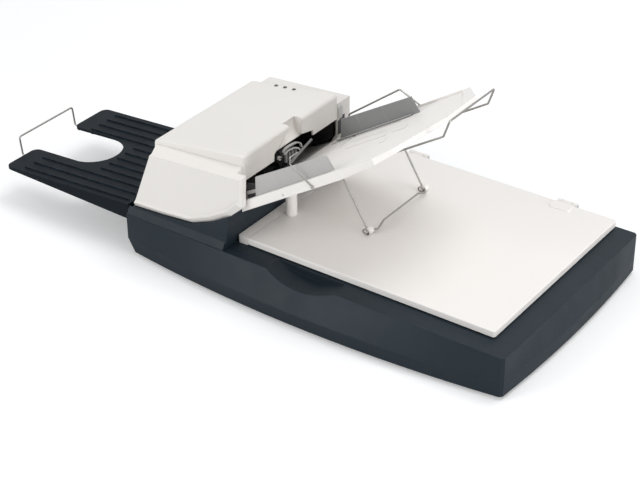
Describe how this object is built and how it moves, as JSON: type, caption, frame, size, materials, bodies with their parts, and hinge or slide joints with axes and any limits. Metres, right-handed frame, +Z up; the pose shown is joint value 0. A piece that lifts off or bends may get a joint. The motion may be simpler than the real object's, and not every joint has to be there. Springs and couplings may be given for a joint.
{
  "type": "document scanner",
  "caption": "Flatbed document scanner with a sheet feeder, a sloping wire-braced paper tray over a hinged cover, and a ribbed output tray with a wire stop.",
  "frame": {"origin": "middle of the base's footprint on the table, on the lower face of the middle foot", "axes": "+X to the right along the long side, away from the feeder; +Y to the rear; +Z up"},
  "size_m": [0.9684, 0.4389, 0.3501],
  "materials": {
    "base_dark": "fine textured, semi matt",
    "tray_dark": "fine textured, semi matt",
    "feeder_white": "smooth, satin",
    "cover_white": "smooth, satin",
    "pad_white": "matt sheet",
    "guide_light": "satin",
    "guide_dark": "satin",
    "mech_dark": "matt",
    "peg_grey": "satin",
    "lens_dark": "gloss",
    "roller_rubber": "matt",
    "foot_rubber": "matt",
    "belt_rubber": "toothed",
    "wire_steel": "bright drawn wire",
    "shaft_steel": "ground",
    "motor_steel": "black painted",
    "board_green": "solder mask",
    "chip_black": "matt",
    "glass": "clear",
    "lamp_glass": "frosted",
    "brass_metal": "turned"
  },
  "bodies": {
    "scanner_base": {"base_shell": "base_dark", "base_pan": "base_dark", "feet": "foot_rubber", "platen_glass": "glass", "reference_strip": "pad_white", "hinge_brackets": "cover_white", "hinge_pins": "shaft_steel", "guide_rod": "shaft_steel", "carriage_belt": "belt_rubber", "stepper_motor": "motor_steel", "circuit_boards": "board_green", "board_parts": "chip_black", "power_inlet": "chip_black", "data_port": "chip_black", "switch_frame": "chip_black", "pedestal": "base_dark", "front_cap": "feeder_white", "rear_cap": "feeder_white", "paper_bed": "feeder_white", "side_plates": "mech_dark", "feeder_belt": "belt_rubber", "feeder_motor": "motor_steel", "release_peg": "peg_grey", "lower_scan_head": "mech_dark", "lower_scan_glass": "glass", "separation_pad": "roller_rubber", "output_tray": "tray_dark", "cover_sill": "cover_white"},
    "cover": {"document_cover": "cover_white", "cover_pad": "pad_white", "cover_bumpers": "foot_rubber", "tray_posts": "cover_white"},
    "tray": {"input_tray": "cover_white", "wire_guard": "wire_steel", "hold_wire": "wire_steel"},
    "guide_front": {"front_guide": "guide_light"},
    "guide_rear": {"rear_guide": "guide_dark"},
    "pinion": {"guide_pinion": "mech_dark"},
    "tray_extension": {"tray_wire": "wire_steel"},
    "stand": {"stand_wire": "wire_steel", "stand_clips": "cover_white", "clip_pins": "mech_dark"},
    "feeder_lid": {"feeder_cover": "feeder_white", "indicator_lenses": "lens_dark", "upper_scan_head": "mech_dark", "upper_scan_glass": "glass", "arm_shaft": "shaft_steel"},
    "arm": {"pick_arm": "mech_dark"},
    "pick": {"pick_roller": "roller_rubber"},
    "feed": {"feed_roller": "roller_rubber"},
    "exit": {"exit_roller": "roller_rubber"},
    "feed_pinch": {"feed_pinch_roller": "mech_dark"},
    "exit_pinch": {"exit_pinch_roller": "mech_dark"},
    "scan_carriage": {"carriage": "chip_black", "carriage_lamp": "lamp_glass", "carriage_optics": "mech_dark"},
    "drive": {"drive_pulley": "brass_metal"},
    "idler": {"idler_pulley": "brass_metal"},
    "rocker": {"power_switch": "chip_black"},
    "stop": {"output_stop": "wire_steel"}
  },
  "joints": [
    {"name": "cover_hinge", "type": "hinge", "parent": "scanner_base", "child": "cover", "pos_m": [0, 0.207, 0.077], "axis": [-1, 0, 0], "range_deg": [0, 70]},
    {"name": "tray_hinge", "type": "hinge", "parent": "cover", "child": "tray", "pos_m": [-0.117, 0, 0.15], "axis": [0, -1, 0], "range_deg": [0, 10]},
    {"name": "front_guide_slide", "type": "slide", "parent": "tray", "child": "guide_front", "axis": [0, 1, 0], "range_m": [0, 0.056]},
    {"name": "rear_guide_slide", "type": "slide", "parent": "tray", "child": "guide_rear", "axis": [0, -1, 0], "range_m": [0, 0.056]},
    {"name": "guide_pinion_spin", "type": "hinge", "parent": "tray", "child": "pinion", "pos_m": [-0.07931, -0.0605, 0.17314], "axis": [-0.5344, 0, 0.8453], "continuous": true},
    {"name": "tray_wire_slide", "type": "slide", "parent": "tray", "child": "tray_extension", "axis": [0.8453, 0, 0.5344], "range_m": [0, 0.06]},
    {"name": "stand_hinge", "type": "hinge", "parent": "tray", "child": "stand", "pos_m": [-0.04972, 0, 0.18996], "axis": [0, -1, 0], "range_deg": [0, 72]},
    {"name": "feeder_cover_hinge", "type": "hinge", "parent": "scanner_base", "child": "feeder_lid", "pos_m": [-0.289, 0, 0.152], "axis": [0, -1, 0], "range_deg": [0, 50]},
    {"name": "pick_arm_hinge", "type": "hinge", "parent": "feeder_lid", "child": "arm", "pos_m": [-0.178, 0, 0.176], "axis": [0, 1, 0], "range_deg": [0, 38]},
    {"name": "pick_roller_spin", "type": "hinge", "parent": "arm", "child": "pick", "pos_m": [-0.146, 0, 0.176], "axis": [0, 1, 0], "continuous": true},
    {"name": "feed_roller_spin", "type": "hinge", "parent": "scanner_base", "child": "feed", "pos_m": [-0.18, 0, 0.126], "axis": [0, 1, 0], "continuous": true},
    {"name": "exit_roller_spin", "type": "hinge", "parent": "scanner_base", "child": "exit", "pos_m": [-0.3, 0, 0.1015], "axis": [0, 1, 0], "continuous": true},
    {"name": "feed_pinch_spin", "type": "hinge", "parent": "scanner_base", "child": "feed_pinch", "pos_m": [-0.18, 0, 0.1097], "axis": [0, 1, 0], "continuous": true},
    {"name": "exit_pinch_spin", "type": "hinge", "parent": "scanner_base", "child": "exit_pinch", "pos_m": [-0.3, 0, 0.0872], "axis": [0, 1, 0], "continuous": true},
    {"name": "carriage_slide", "type": "slide", "parent": "scanner_base", "child": "scan_carriage", "axis": [1, 0, 0], "range_m": [0, 0.36]},
    {"name": "drive_pulley_spin", "type": "hinge", "parent": "scanner_base", "child": "drive", "pos_m": [-0.16, 0.178, 0.04], "axis": [0, 0, 1], "continuous": true},
    {"name": "idler_pulley_spin", "type": "hinge", "parent": "scanner_base", "child": "idler", "pos_m": [0.318, 0.178, 0.04], "axis": [0, 0, 1], "continuous": true},
    {"name": "power_switch_rock", "type": "hinge", "parent": "scanner_base", "child": "rocker", "pos_m": [-0.2, 0.198, 0.047], "axis": [0, 0, 1], "range_deg": [0, 11]},
    {"name": "output_stop_slide", "type": "slide", "parent": "scanner_base", "child": "stop", "axis": [-1, 0, 0], "range_m": [0, 0.04]}
  ],
  "couplings": [
    {"joint": "rear_guide_slide", "follows": "front_guide_slide", "ratio": 1},
    {"joint": "guide_pinion_spin", "follows": "front_guide_slide", "rad_per_m": -121.95},
    {"joint": "exit_roller_spin", "follows": "feed_roller_spin", "ratio": 1},
    {"joint": "drive_pulley_spin", "follows": "carriage_slide", "rad_per_m": 125},
    {"joint": "idler_pulley_spin", "follows": "carriage_slide", "rad_per_m": 125}
  ]
}
